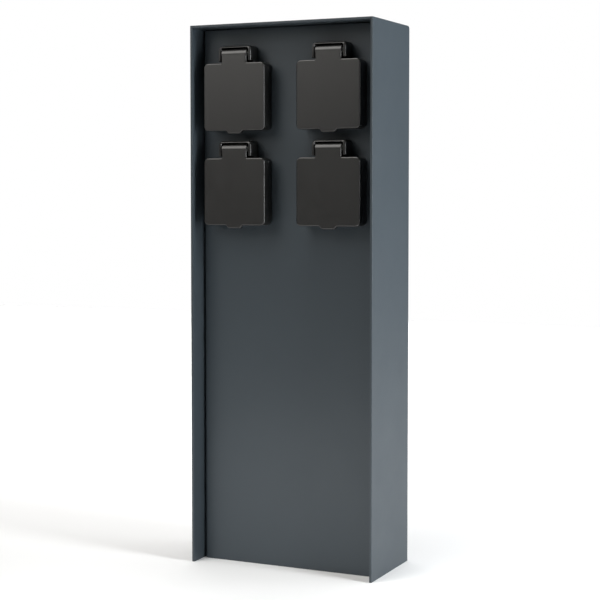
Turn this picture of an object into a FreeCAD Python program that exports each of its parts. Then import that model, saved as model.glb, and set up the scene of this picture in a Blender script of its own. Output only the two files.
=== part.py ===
import FreeCAD, Part
import math
import os
import types

import Sketcher

# Garden socket column: a sheet metal hood over an inner frame with four lidded sockets.
# X runs to the right, Y to the back and Z up. The origin is on the ground, in the middle.

doc = FreeCAD.newDocument("garden_socket")
sheet = doc.addObject("Spreadsheet::Sheet", "dims")

DRIVING = {
    # Hood of 2 mm sheet
    "casing_width": 164,
    "casing_depth": 80,
    "casing_height": 450,
    "hood_sheet": 2,
    "hood_bend": 3,
    # Inner frame: front panel with its side returns, and the ground plate
    "panel_recess": 17.5,
    "panel_sheet": 1.5,
    "panel_side_gap": 1.5,
    "panel_top_gap": 1,
    "panel_bend": 2,
    "rear_flange": 14,
    "base_sheet": 2,
    "base_upstand": 22,
    "anchor_span": 110,
    "anchor_pitch": 32,
    "anchor_radius": 4.5,
    "cable_radius": 14,
    # Places of the four sockets
    "column_pitch": 84.8,
    "row_pitch": 78,
    "lower_row": 312.5,
    # Socket housing, measured forward from the back of its flange
    "gasket_thick": 1,
    "housing_width": 55.6,
    "housing_height": 55.2,
    "housing_corner": 4.2,
    "collar_depth": 6.5,
    "rim_side": 50,
    "rim_wall": 2,
    "rim_front": 10.8,
    "face_level": 9.5,
    "flange_thick": 3,
    "dish_radius": 19.5,
    "dish_depth": 17.5,
    "dish_floor": 2,
    "guide_width": 4.6,
    "guide_reach": 2,
    "guide_root": 0.4,
    "guide_top": 3,
    "boss_half": 21.5,
    "boss_cut": 12,
    "boss_gap": 0.5,
    "contact_pitch": 19,
    "contact_hole": 2.75,
    "screw_pitch": 38,
    "recess_side": 8,
    "gasket_side": 52,
    "gasket_width": 2.5,
    # Lid
    "lid_width": 56,
    "lid_height": 55.6,
    "lid_front": 14.5,
    "lid_depth": 7.5,
    "lid_plate": 2.2,
    "lid_wall": 1.5,
    "lid_corner": 3.75,
    "lid_edge": 0.5,
    "tab_root": 15.5,
    "tab_tip": 11.2,
    "tab_drop": 2.4,
    "seal_thick": 1.4,
    "seal_play": 0.3,
    "seal_width": 3.8,
    "seal_rib": 1,
    # Hinge
    "axis_rise": 7.2,
    "barrel_radius": 3.9,
    "barrel_width": 22.9,
    "ear_gap": 24.4,
    "block_width": 28.4,
    "block_rise": 6.9,
    "block_corner": 2,
    "block_roof": 1.6,
    "block_wall": 2.5,
    "ear_reach": 2.5,
    "ear_drop": 5.8,
    "pin_radius": 1.25,
    "pin_inset": 0.2,
    "pin_stop": 1,
    "spring_width": 7,
    "spring_strip": 0.5,
    "spring_leg": 6,
    # Contacts, with the earth clip's two prongs measured from the dish floor
    "carrier_side": 34,
    "carrier_depth": 15,
    "carrier_corner": 3,
    "carrier_wall": 3,
    "contact_width": 7,
    "contact_height": 12,
    "clip_width": 5,
    "clip_thick": 1,
    "clip_reach": 18,
    "prong_root": 3,
    "prong_peak": 8,
    "prong_tip": 12,
    "prong_bulge": 2,
    # Play at each side of a loose fit and of a close one
    "loose_fit": 0.2,
    "close_fit": 0.05,
    # Terminal block and bonding stud on the inside of the panel
    "terminal_height": 150,
    "terminal_width": 50,
    "terminal_rise": 24,
    "terminal_depth": 18,
    "terminal_floor": 4,
    "clamp_width": 8.6,
    "clamp_rise": 18,
    "clamp_depth": 13,
    "stud_height": 110,
    "stud_radius": 3,
    "wire_side": 2.4,
    "wire_layer": 2.8,
    "wire_rise": 20,
    # Screws of the hood and of the sockets, and the bent catch that holds the hood's top
    "screw_radius": 1.9,
    "screw_length": 8,
    "screw_head": 3.4,
    "screw_head_rise": 2.2,
    "sunk_head": 1.9,
    "hood_screw_height": 45,
    "catch_width": 115,
    "catch_drop": 16,
    "catch_reach": 14,
    "catch_gap": 0.5,
}
# A hexagon's half height, and the corner cut that makes a square eight-sided
HEXAGON_RISE = math.sqrt(3) / 2
EIGHT_SIDED = 2 - math.sqrt(2)
# How far a form starts inside the one it joins, and how far a cut runs past its solid
OVERLAP = 1

for row, (name, value) in enumerate(DRIVING.items(), start=1):
    sheet.set(f"A{row}", name)
    sheet.set(f"B{row}", str(value))
    sheet.setAlias(f"B{row}", name)
doc.recompute()


class Size:
    """A length known both as a number and as the formula on the sheet that gives it."""

    def __init__(self, number, formula=None):
        self.number = float(number)
        self.formula = formula

    def text(self):
        return self.formula or repr(self.number)

    def joined(self, other, sign, number):
        if self.formula is None and other.formula is None:
            return Size(number)
        return Size(number, f"({self.text()} {sign} {other.text()})")

    def __add__(self, other):
        other = as_size(other)
        return self.joined(other, "+", self.number + other.number)

    def __sub__(self, other):
        other = as_size(other)
        return self.joined(other, "-", self.number - other.number)

    def __mul__(self, other):
        other = as_size(other)
        return self.joined(other, "*", self.number * other.number)

    def __truediv__(self, other):
        other = as_size(other)
        return self.joined(other, "/", self.number / other.number)

    def __rsub__(self, other):
        return as_size(other) - self

    def __neg__(self):
        return self * -1

    __radd__ = __add__
    __rmul__ = __mul__


def as_size(value):
    return value if isinstance(value, Size) else Size(value)


d = types.SimpleNamespace()
for name in DRIVING:
    setattr(d, name, Size(float(sheet.get(name)), f"dims.{name}"))


def bind(thing, path, size):
    """Sets a property of a feature, and ties it to the sheet where the size comes from there."""
    size = as_size(size)
    if "." not in path:
        setattr(thing, path, size.number)
    if size.formula:
        thing.setExpression(path, size.formula)


def new_body(label, place=(0, 0, 0)):
    body = doc.addObject("PartDesign::Body", label)
    body.Label = label
    place = [as_size(size) for size in place]
    body.Placement = FreeCAD.Placement(FreeCAD.Vector(*[size.number for size in place]), FreeCAD.Rotation())
    for axis, size in zip("xyz", place):
        bind(body, f"Placement.Base.{axis}", size)
    return body


def new_sketch(body, name, plane, ahead=0):
    """A sketch on one of the body's own planes, or parallel to it by the given distance."""
    sketch = body.newObject("Sketcher::SketchObject", name)
    planes = {feature.Role: feature for feature in body.Origin.OriginFeatures}
    sketch.AttachmentSupport = [(planes[plane], "")]
    sketch.MapMode = "FlatFace"
    ahead = as_size(ahead)
    sketch.AttachmentOffset = FreeCAD.Placement(FreeCAD.Vector(0, 0, ahead.number), FreeCAD.Rotation())
    bind(sketch, "AttachmentOffset.Base.z", ahead)
    return sketch


def fix_point(sketch, item, end, place):
    for kind, size in zip(("DistanceX", "DistanceY"), place):
        size = as_size(size)
        index = sketch.addConstraint(Sketcher.Constraint(kind, -1, 1, item, end, size.number))
        if size.formula:
            sketch.setExpression(f"Constraints[{index}]", size.formula)


def outline(sketch, corners):
    """A closed outline of straight lines through the given corners."""
    points = [FreeCAD.Vector(as_size(across).number, as_size(up).number, 0) for across, up in corners]
    following = points[1:] + points[:1]
    lines = sketch.addGeometry([Part.LineSegment(a, b) for a, b in zip(points, following)], False)
    for line, after in zip(lines, lines[1:] + lines[:1]):
        sketch.addConstraint(Sketcher.Constraint("Coincident", line, 2, after, 1))
    for line, corner in zip(lines, corners):
        fix_point(sketch, line, 1, corner)


def rectangle(sketch, width, height, across=0, up=0):
    """A rectangle of the given size about its centre."""
    across = as_size(across)
    up = as_size(up)
    left = across - width / 2
    right = across + width / 2
    low = up - height / 2
    high = up + height / 2
    outline(sketch, [(left, low), (right, low), (right, high), (left, high)])


def cut_square(sketch, half, cut, across=0, up=0):
    """A square with its four corners cut off, about its centre."""
    short = half - cut
    turns = [(half, short), (short, half), (-short, half), (-half, short)]
    turns += [(-a, -b) for a, b in turns]
    outline(sketch, [(across + a, up + b) for a, b in turns])


def hexagon(sketch, radius, across=0, up=0):
    """A hexagon of the given distance from centre to corner, with a corner on each side."""
    rise = radius * HEXAGON_RISE
    half = radius / 2
    turns = [(radius, 0), (half, rise), (-half, rise), (-radius, 0), (-half, -rise), (half, -rise)]
    outline(sketch, [(across + a, up + b) for a, b in turns])


def circle(sketch, radius, across=0, up=0):
    centre = FreeCAD.Vector(as_size(across).number, as_size(up).number, 0)
    item = sketch.addGeometry(Part.Circle(centre, FreeCAD.Vector(0, 0, 1), as_size(radius).number), False)
    index = sketch.addConstraint(Sketcher.Constraint("Radius", item, as_size(radius).number))
    if as_size(radius).formula:
        sketch.setExpression(f"Constraints[{index}]", as_size(radius).formula)
    fix_point(sketch, item, 3, (across, up))


def pad(sketch, length, side="One side", back=False):
    body = sketch.getParentGeoFeatureGroup()
    feature = body.newObject("PartDesign::Pad", sketch.Name + "_pad")
    feature.Profile = sketch
    feature.SideType = side
    feature.Reversed = back
    bind(feature, "Length", length)
    doc.recompute()
    return feature


def pocket(sketch, length, side="One side", back=False):
    """Cuts the sketch out of the body. One that takes nothing away is an error."""
    body = sketch.getParentGeoFeatureGroup()
    before = body.Shape.Volume
    feature = body.newObject("PartDesign::Pocket", sketch.Name + "_cut")
    feature.Profile = sketch
    feature.SideType = side
    feature.Reversed = back
    bind(feature, "Length", length)
    doc.recompute()
    if body.Shape.Volume > before - 0.01:
        raise ValueError(f"{feature.Name} takes nothing away")
    return feature


def straight_edges(shape, direction, keep):
    """Names of the straight edges that run along the direction and whose middle is kept."""
    names = []
    for number, edge in enumerate(shape.Edges, start=1):
        if edge.Curve.TypeId != "Part::GeomLine":
            continue
        run = edge.Vertexes[1].Point - edge.Vertexes[0].Point
        if abs(run.normalize().dot(direction)) > 0.999 and keep(edge.CenterOfMass):
            names.append(f"Edge{number}")
    return names


def soften(base, names, size, kind="Fillet"):
    """Rounds or bevels the named edges of the body's last feature."""
    body = base.getParentGeoFeatureGroup()
    feature = body.newObject(f"PartDesign::{kind}", f"{base.Name}_{kind.lower()}")
    feature.Base = (base, names)
    bind(feature, "Radius" if kind == "Fillet" else "Size", size)
    doc.recompute()
    return feature


ALONG_X = FreeCAD.Vector(1, 0, 0)
ALONG_Y = FreeCAD.Vector(0, 1, 0)
ALONG_Z = FreeCAD.Vector(0, 0, 1)


def near(value, size):
    return abs(value - as_size(size).number) < 0.01


half_width = d.casing_width / 2
half_depth = d.casing_depth / 2
back_inside = half_depth - d.hood_sheet
panel_face = d.panel_recess - half_depth
panel_half = half_width - d.hood_sheet - d.panel_side_gap
flange_line = panel_half - d.rear_flange / 2
hood_screw_places = [(side * flange_line, d.hood_screw_height) for side in (-1, 1)]


# The hood: back and top are one sheet with a bend between them, and a flat sheet is welded to each side
def make_hood():
    body = new_body("hood_back_top")
    section = new_sketch(body, "hood_section", "YZ_Plane")
    top_inside = d.casing_height - d.hood_sheet
    outline(section, [
        (-half_depth, top_inside),
        (-half_depth, d.casing_height),
        (half_depth, d.casing_height),
        (half_depth, 0),
        (back_inside, 0),
        (back_inside, top_inside),
    ])
    bent = pad(section, d.casing_width - 2 * d.hood_sheet, "Symmetric")
    for depth, height, radius in (
        (half_depth, d.casing_height, d.hood_bend),
        (back_inside, top_inside, d.hood_bend - d.hood_sheet),
    ):
        corner = straight_edges(bent.Shape, ALONG_X, lambda p: near(p.y, depth) and near(p.z, height))
        bent = soften(bent, corner, radius)
    holes = new_sketch(body, "hood_holes", "XZ_Plane")
    for across, up in hood_screw_places:
        hexagon(holes, d.screw_radius + d.loose_fit, across, up)
    drilled = pocket(holes, d.casing_depth)
    sunk = [
        f"Edge{number}"
        for number, edge in enumerate(drilled.Shape.Edges, start=1)
        if near(edge.CenterOfMass.y, half_depth) and edge.Length < d.hood_bend.number
    ]
    soften(drilled, sunk, d.sunk_head, "Chamfer")

    for name, side in (("hood_side_left", -1), ("hood_side_right", 1)):
        body = new_body(name)
        plate = new_sketch(body, f"{name}_outline", "YZ_Plane", side * (half_width - d.hood_sheet / 2))
        rectangle(plate, d.casing_depth, d.casing_height, 0, d.casing_height / 2)
        flat = pad(plate, d.hood_sheet, "Symmetric")
        corner = straight_edges(flat.Shape, ALONG_X, lambda p: p.y > 0 and p.z > 1)
        soften(flat, corner, d.hood_bend)


# The inner frame's front: a panel with returns along both sides and flanges that carry the hood
def make_front_panel(places):
    body = new_body("front_panel")
    plan = new_sketch(body, "panel_plan", "XY_Plane")
    inside = panel_half - d.panel_sheet
    lip = panel_half - d.rear_flange
    lip_front = back_inside - d.panel_sheet
    panel_back = panel_face + d.panel_sheet
    half = [
        (panel_half, panel_face),
        (panel_half, back_inside),
        (lip, back_inside),
        (lip, lip_front),
        (inside, lip_front),
        (inside, panel_back),
    ]
    outline(plan, half + [(-across, back) for across, back in reversed(half)])
    raised = pad(plan, d.casing_height - d.hood_sheet - d.panel_top_gap)
    outer = straight_edges(raised.Shape, ALONG_Z, lambda p: near(abs(p.x), panel_half))
    raised = soften(raised, outer, d.panel_bend)
    inner = straight_edges(raised.Shape, ALONG_Z, lambda p: near(abs(p.x), inside))
    soften(raised, inner, d.panel_bend - d.panel_sheet)
    cut_outs = new_sketch(body, "panel_cut_outs", "XZ_Plane")
    for column, height in places:
        cut_square(cut_outs, d.boss_half + d.boss_gap, d.boss_cut, column, height)
    for across, up in screws_of(places):
        hexagon(cut_outs, d.screw_radius + d.close_fit, across, up)
    pocket(cut_outs, half_depth, back=True)
    tapped = new_sketch(body, "flange_holes", "XZ_Plane")
    for across, up in hood_screw_places:
        hexagon(tapped, d.screw_radius + d.close_fit, across, up)
    pocket(tapped, half_depth)


# The ground plate stands inside the frame, clear of its bends, with an upstand welded to each return
def make_base_plate():
    body = new_body("base_plate")
    reach = panel_half - d.panel_sheet
    front = panel_face + d.panel_bend
    rear = back_inside - d.panel_bend
    section = new_sketch(body, "base_section", "XZ_Plane", -front)
    outline(section, [
        (-reach, 0),
        (reach, 0),
        (reach, d.base_upstand),
        (reach - d.base_sheet, d.base_upstand),
        (reach - d.base_sheet, d.base_sheet),
        (-reach + d.base_sheet, d.base_sheet),
        (-reach + d.base_sheet, d.base_upstand),
        (-reach, d.base_upstand),
    ])
    bent = pad(section, rear - front, back=True)
    soften(bent, straight_edges(bent.Shape, ALONG_Y, lambda p: near(p.z, 0)), d.base_sheet)
    holes = new_sketch(body, "base_holes", "XY_Plane")
    middle = (front + rear) / 2
    circle(holes, d.cable_radius, 0, middle)
    for side in (-1, 1):
        for end in (-1, 1):
            circle(holes, d.anchor_radius, side * d.anchor_span / 2, middle + end * d.anchor_pitch / 2)
    pocket(holes, d.base_sheet * 2, back=True)


# Heights and depths on a socket, forward from the back of the flange and up from its centre
lid_top = d.lid_height / 2
axis_up = lid_top + d.axis_rise
axis_ahead = d.lid_front - d.barrel_radius
skirt_back = d.lid_front - d.lid_depth
plate_back = d.lid_front - d.lid_plate
floor_ahead = d.face_level - d.dish_depth
boss_back = floor_ahead - d.dish_floor
coil_inside = d.pin_radius + d.spring_strip
coil_outside = coil_inside + d.spring_strip
terminal_pitch = d.terminal_width / 3


def screws_of(places):
    """Places of the two screws of each socket, lower right and upper left of its centre."""
    reach = d.screw_pitch / 2
    return [
        (column + side * reach, height - side * reach) for column, height in places for side in (-1, 1)
    ]


# Moulded housing: flange with collar and rim, round dish, and the hinge block with its two ears
def make_housing(label, place):
    body = new_body(label, place)
    flange = new_sketch(body, "flange", "XZ_Plane")
    rectangle(flange, d.housing_width, d.housing_height)
    block = pad(flange, d.collar_depth)
    soften(block, straight_edges(block.Shape, ALONG_Y, lambda p: True), d.housing_corner)
    rim = new_sketch(body, "rim", "XZ_Plane")
    rectangle(rim, d.rim_side, d.rim_side)
    raised = pad(rim, d.rim_front)
    corners = straight_edges(raised.Shape, ALONG_Y, lambda p: near(abs(p.x), d.rim_side / 2))
    soften(raised, corners, d.rim_wall, "Chamfer")
    face = new_sketch(body, "face", "XZ_Plane", d.rim_front)
    rectangle(face, d.rim_side - 2 * d.rim_wall, d.rim_side - 2 * d.rim_wall)
    pocket(face, d.rim_front - d.face_level)
    boss = new_sketch(body, "boss", "XZ_Plane")
    cut_square(boss, d.boss_half, d.boss_cut)
    pad(boss, -boss_back, back=True)
    dish = new_sketch(body, "dish", "XZ_Plane", d.face_level)
    circle(dish, d.dish_radius)
    pocket(dish, d.dish_depth)
    # Two guide ribs at the sides of the dish fit the notches of the plug
    guides = new_sketch(body, "guide_ribs", "XZ_Plane", floor_ahead)
    for side in (-1, 1):
        middle = side * (d.dish_radius + (d.guide_root - d.guide_reach) / 2)
        rectangle(guides, d.guide_reach + d.guide_root, d.guide_width, middle)
    pad(guides, d.dish_depth - d.guide_top)
    recess = new_sketch(body, "screw_recess", "XZ_Plane", d.face_level)
    for side in (-1, 1):
        across = side * d.screw_pitch / 2
        for up in (across, -across):
            rectangle(recess, d.recess_side, d.recess_side, across, up)
    pocket(recess, d.face_level - d.flange_thick)
    holes = new_sketch(body, "screw_holes", "XZ_Plane", d.flange_thick)
    for across, up in screws_of([(0, 0)]):
        hexagon(holes, d.screw_radius + d.loose_fit, across, up)
    pocket(holes, d.flange_thick)
    openings = new_sketch(body, "floor_openings", "XZ_Plane", floor_ahead)
    clip_middle = d.clip_reach - d.clip_thick / 2
    for side in (-1, 1):
        circle(openings, d.contact_hole, side * d.contact_pitch / 2)
        clip_slot = (d.clip_width + 2 * d.loose_fit, d.clip_thick + 2 * d.loose_fit)
        rectangle(openings, *clip_slot, 0, side * clip_middle)
    pocket(openings, d.dish_floor)

    block = new_sketch(body, "hinge_block", "YZ_Plane")
    block_foot = d.housing_height / 2 - OVERLAP
    block_top = axis_up + d.block_rise
    ear_foot = axis_up - d.ear_drop
    ear_front = axis_ahead + d.ear_reach
    outline(block, [
        (0, block_foot),
        (-d.collar_depth, block_foot),
        (-d.collar_depth, ear_foot),
        (-ear_front, ear_foot),
        (-ear_front, block_top),
        (0, block_top),
    ])
    solid = pad(block, d.block_width, "Symmetric")
    corners = straight_edges(solid.Shape, ALONG_Y, lambda p: near(p.z, block_top))
    solid = soften(solid, corners, d.block_corner, "Chamfer")
    brow = straight_edges(solid.Shape, ALONG_X, lambda p: near(p.y, -ear_front) and near(p.z, block_top))
    solid = soften(solid, brow, d.ear_reach)
    chin = straight_edges(solid.Shape, ALONG_X, lambda p: near(p.y, -ear_front) and near(p.z, ear_foot))
    soften(solid, chin, d.ear_reach / 2, "Chamfer")
    gap =new_sketch(body, "barrel_gap", "YZ_Plane")
    outline(gap, [
        (-d.block_wall, d.housing_height / 2),
        (-ear_front - OVERLAP, d.housing_height / 2),
        (-ear_front - OVERLAP, block_top - d.block_roof),
        (-d.block_wall, block_top - d.block_roof),
    ])
    pocket(gap, d.ear_gap, "Symmetric")
    pin_hole = new_sketch(body, "pin_hole", "YZ_Plane", -d.block_width / 2)
    circle(pin_hole, d.pin_radius, -axis_ahead, axis_up)
    pocket(pin_hole, d.block_width - d.pin_stop, back=True)


# Lid: shallow tray with a neck that runs up into the hinge barrel, and a tab to lift it by
def make_lid(label, place):
    body = new_body(label, place)
    tray = new_sketch(body, "tray", "XZ_Plane", skirt_back)
    rectangle(tray, d.lid_width, d.lid_height)
    solid = pad(tray, d.lid_depth)
    solid = soften(solid, straight_edges(solid.Shape, ALONG_Y, lambda p: True), d.lid_corner)
    front = [
        f"Edge{number}"
        for number, edge in enumerate(solid.Shape.Edges, start=1)
        if near(edge.CenterOfMass.y, -d.lid_front)
    ]
    soften(solid, front, d.lid_edge, "Chamfer")
    inside = new_sketch(body, "inside", "XZ_Plane", skirt_back)
    rectangle(inside, d.lid_width - 2 * d.lid_wall, d.lid_height - 2 * d.lid_wall)
    pocket(inside, d.lid_depth - d.lid_plate, back=True)
    rib = new_sketch(body, "seal_rib", "XZ_Plane", plate_back)
    rib_width = d.lid_width - 2 * (d.lid_wall + d.seal_width + 2 * d.seal_play)
    rib_height = rib_width - d.lid_width + d.lid_height
    rectangle(rib, rib_width, rib_height)
    rectangle(rib, rib_width - 2 * d.seal_rib, rib_height - 2 * d.seal_rib)
    pad(rib, d.seal_thick, back=True)
    neck = new_sketch(body, "neck", "YZ_Plane")
    outline(neck, [
        (-d.lid_front, lid_top - OVERLAP),
        (-plate_back, lid_top - OVERLAP),
        (-plate_back, axis_up),
        (-d.lid_front, axis_up),
    ])
    pad(neck, d.barrel_width, "Symmetric")
    barrel = new_sketch(body, "barrel", "YZ_Plane")
    circle(barrel, d.barrel_radius, -axis_ahead, axis_up)
    pad(barrel, d.barrel_width, "Symmetric")
    bore = new_sketch(body, "bore", "YZ_Plane")
    circle(bore, d.pin_radius + d.close_fit, -axis_ahead, axis_up)
    pocket(bore, d.barrel_width + 2 * OVERLAP, "Symmetric")
    nest = new_sketch(body, "spring_nest", "YZ_Plane", d.barrel_width / 2 - d.spring_width)
    reach = coil_outside + d.loose_fit
    under_barrel = axis_up - d.barrel_radius - d.loose_fit
    outline(nest, [
        (-axis_ahead - reach, axis_up - reach),
        (-plate_back, axis_up - reach),
        (-plate_back, under_barrel),
        (-axis_ahead + 2 * reach, under_barrel),
        (-axis_ahead + 2 * reach, axis_up + reach),
        (-axis_ahead - reach, axis_up + reach),
    ])
    pocket(nest, d.spring_width + OVERLAP, back=True)
    tab = new_sketch(body, "tab", "XZ_Plane", plate_back)
    outline(tab, [
        (-d.tab_root / 2, OVERLAP - lid_top),
        (-d.tab_root / 2, -lid_top),
        (-d.tab_tip / 2, -lid_top - d.tab_drop),
        (d.tab_tip / 2, -lid_top - d.tab_drop),
        (d.tab_root / 2, -lid_top),
        (d.tab_root / 2, OVERLAP - lid_top),
    ])
    pad(tab, d.lid_plate)


def make_seal(label, place):
    body = new_body(label, place)
    frame = new_sketch(body, "seal", "XZ_Plane", plate_back)
    inset = 2 * (d.lid_wall + d.seal_play)
    inner = inset + 2 * d.seal_width
    rectangle(frame, d.lid_width - inset, d.lid_height - inset)
    rectangle(frame, d.lid_width - inner, d.lid_height - inner)
    pad(frame, d.seal_thick, back=True)


# The pin goes in from the left and stops at the closed end of the right ear's hole
def make_pin(label, place):
    body = new_body(label, place)
    round_bar = new_sketch(body, "pin", "YZ_Plane", d.pin_inset - d.block_width / 2)
    circle(round_bar, d.pin_radius, -axis_ahead, axis_up)
    pad(round_bar, d.block_width - d.pin_stop - d.pin_inset)


# Leg spring: strip wound once about the pin, one leg on the back wall and one behind the neck
def make_spring(label, place):
    body = new_body(label, place)
    middle = (d.barrel_width - d.spring_width) / 2
    strip = new_sketch(body, "coil", "YZ_Plane", middle)
    for half in (coil_outside, coil_inside):
        cut_square(strip, half, half * EIGHT_SIDED, -axis_ahead, axis_up)
    pad(strip, d.spring_width - OVERLAP, "Symmetric")
    legs = new_sketch(body, "legs", "YZ_Plane", middle)
    wall_end = axis_up + coil_outside
    outline(legs, [
        (-axis_ahead, axis_up + coil_inside),
        (-axis_ahead, axis_up + coil_outside),
        (-d.block_wall, wall_end + d.spring_strip),
        (-d.block_wall, wall_end),
    ])
    neck_leg = d.close_fit - plate_back
    outline(legs, [
        (neck_leg, axis_up - d.spring_leg),
        (neck_leg + d.spring_strip, axis_up - d.spring_leg),
        (neck_leg + d.spring_strip, axis_up - 2 * d.spring_strip),
        (neck_leg, axis_up - 2 * d.spring_strip),
    ])
    pad(legs, d.spring_width / 2, "Symmetric")


def make_gasket(label, place):
    body = new_body(label, place)
    frame = new_sketch(body, "gasket", "XZ_Plane")
    inner = d.gasket_side - 2 * d.gasket_width
    rectangle(frame, d.gasket_side, d.gasket_side)
    rectangle(frame, inner, inner)
    pad(frame, d.gasket_thick, back=True)


# The carrier closes the dish from behind and holds the two contacts and the earth clip
def make_carrier(label, place):
    body = new_body(label, place)
    block = new_sketch(body, "carrier", "XZ_Plane", boss_back)
    rectangle(block, d.carrier_side, d.carrier_side)
    solid = pad(block, d.carrier_depth, back=True)
    edges = straight_edges(solid.Shape, ALONG_Y, lambda p: True)
    soften(solid, edges, d.carrier_corner, "Chamfer")
    chambers = new_sketch(body, "chambers", "XZ_Plane", boss_back)
    chamber = (d.contact_width + 2 * d.loose_fit, d.contact_height + 2 * d.loose_fit)
    for side in (-1, 1):
        rectangle(chambers, *chamber, side * d.contact_pitch / 2)
    pocket(chambers, d.carrier_depth - d.carrier_wall)
    groove = new_sketch(body, "clip_groove", "XZ_Plane", boss_back)
    rectangle(groove, d.clip_width + 2 * d.loose_fit, d.carrier_side)
    pocket(groove, d.clip_thick + d.close_fit)


def make_contacts(label, place):
    body = new_body(label, place)
    block = new_sketch(body, "contacts", "XZ_Plane", boss_back)
    for side in (-1, 1):
        rectangle(block, d.contact_width, d.contact_height, side * d.contact_pitch / 2)
    pad(block, d.carrier_depth - d.carrier_wall - d.loose_fit, back=True)


# Earth clip: strip bent to a U, its prongs pass the dish floor and bulge inward above and below
def make_earth_clip(label, place):
    body = new_body(label, place)
    shape = new_sketch(body, "clip_shape", "YZ_Plane")
    outside = d.clip_reach
    inside = outside - d.clip_thick
    back = -boss_back
    floor = -floor_ahead
    half = [
        (back + d.clip_thick, outside),
        (floor - d.prong_root, outside),
        (floor - d.prong_peak, outside - d.prong_bulge),
        (floor - d.prong_tip, outside),
        (floor - d.prong_tip, inside),
        (floor - d.prong_peak, inside - d.prong_bulge),
        (floor - d.prong_root, inside),
        (back, inside),
    ]
    outline(shape, half + [(across, -up) for across, up in reversed(half)])
    pad(shape, d.clip_width, "Symmetric")


# Bent catch under the top, behind the panel's upper edge, and the two screws through the back
def make_hood_fixings():
    body = new_body("top_catch")
    front = panel_face + d.panel_sheet + d.catch_gap
    under = d.casing_height - d.hood_sheet
    section = new_sketch(body, "catch_section", "YZ_Plane")
    outline(section, [
        (front, under),
        (front, under - d.catch_drop),
        (front + d.panel_sheet, under - d.catch_drop),
        (front + d.panel_sheet, under - d.panel_sheet),
        (front + d.catch_reach, under - d.panel_sheet),
        (front + d.catch_reach, under),
    ])
    pad(section, d.catch_width, "Symmetric")

    # The sunk heads bear on the slopes of their countersinks, level with the back sheet
    body = new_body("hood_screws", (0, half_depth, 0))
    slope = d.sunk_head - d.close_fit
    heads = new_sketch(body, "sunk_heads", "XZ_Plane")
    shanks = new_sketch(body, "hood_shanks", "XZ_Plane")
    for across, up in hood_screw_places:
        hexagon(heads, d.screw_radius + d.loose_fit + slope / HEXAGON_RISE, across, up)
        hexagon(shanks, d.screw_radius, across, up)
    flat = pad(heads, d.sunk_head)
    inner = [
        f"Edge{number}"
        for number, edge in enumerate(flat.Shape.Edges, start=1)
        if near(edge.CenterOfMass.y, -d.sunk_head)
    ]
    soften(flat, inner, slope, "Chamfer")
    pad(shanks, d.screw_length)


# Two screws under each lid, in opposite corners, hold the housing to the panel
def make_socket_screws(places):
    body = new_body("socket_screws", (0, panel_face - d.gasket_thick, 0))
    shanks = new_sketch(body, "screw_shanks", "XZ_Plane", d.flange_thick)
    heads = new_sketch(body, "screw_heads", "XZ_Plane", d.flange_thick)
    for across, up in screws_of(places):
        hexagon(shanks, d.screw_radius, across, up)
        hexagon(heads, d.screw_head, across, up)
    pad(heads, d.screw_head_rise)
    pad(shanks, d.screw_length + d.gasket_thick, back=True)


# Strip of three terminals on the back of the panel, the brass clamps in it, and the bonding stud
def make_terminals():
    panel_back = panel_face + d.panel_sheet
    place = (0, panel_back, d.terminal_height)
    body = new_body("terminal_block", place)
    block = new_sketch(body, "terminal_body", "XZ_Plane")
    rectangle(block, d.terminal_width, d.terminal_rise)
    pad(block, d.terminal_depth, back=True)
    slots = new_sketch(body, "terminal_slots", "XZ_Plane", -d.terminal_depth)
    clamp_body = new_body("terminal_clamps", place)
    clamps = new_sketch(clamp_body, "clamps", "XZ_Plane", -d.terminal_floor)
    for step in (-1, 0, 1):
        rectangle(slots, d.clamp_width + 2 * d.loose_fit, d.terminal_rise, step * terminal_pitch)
        rectangle(clamps, d.clamp_width, d.clamp_rise, step * terminal_pitch)
    pocket(slots, d.terminal_depth - d.terminal_floor, back=True)
    pad(clamps, d.clamp_depth, back=True)

    body = new_body("earth_stud", (0, panel_back, d.stud_height))
    stud = new_sketch(body, "stud", "XZ_Plane")
    hexagon(stud, d.stud_radius)
    pad(stud, d.terminal_depth, back=True)
    nut = new_sketch(body, "stud_nut", "XZ_Plane")
    hexagon(nut, d.stud_radius * 2)
    pad(nut, d.stud_radius * 1.5, back=True)


# Two leads of each wire run from its terminal to the lower sockets, and a link goes on to the upper ones.
# They lie in layers behind the sockets' bosses and the backs of the earth clips.
def make_wire(name, terminal, offset, layer):
    behind_clips = -boss_back + d.clip_thick + 2 * d.loose_fit
    body = new_body(name, (0, panel_face - d.gasket_thick + behind_clips, 0))
    across_terminal = terminal * terminal_pitch
    start = d.terminal_height + d.clamp_rise / 2
    low = d.lower_row - d.carrier_side / 2
    links = d.lower_row + d.carrier_side / 2
    half = d.wire_side / 2
    runs = new_sketch(body, f"{name}_runs", "XZ_Plane", -layer * d.wire_layer)
    for side in (-1, 1):
        beside = across_terminal + side * (half + d.loose_fit)
        end = side * (d.column_pitch / 2 + offset)
        path = [(beside, start), (beside, start + d.wire_rise), (end, low - d.wire_rise), (end, low)]
        outline(
            runs,
            [(across - half, up) for across, up in path]
            + [(across + half, up) for across, up in reversed(path)],
        )
        link = d.row_pitch - d.carrier_side
        rectangle(runs, d.wire_side, link, end, links + link / 2)
    if terminal == 0:
        top = d.terminal_height - d.clamp_rise / 2
        foot = d.stud_height + d.stud_radius * HEXAGON_RISE
        rectangle(runs, d.wire_side, top - foot, 0, (top + foot) / 2)
    pad(runs, d.wire_side, back=True)


columns = {"left": -d.column_pitch / 2, "right": d.column_pitch / 2}
rows = {"upper": d.lower_row + d.row_pitch, "lower": d.lower_row}
socket_places = {
    f"{row}_{column}": (columns[column], rows[row]) for row in rows for column in columns
}

make_hood()
make_front_panel(socket_places.values())
make_base_plate()
make_hood_fixings()
make_terminals()
make_socket_screws(socket_places.values())
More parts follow.
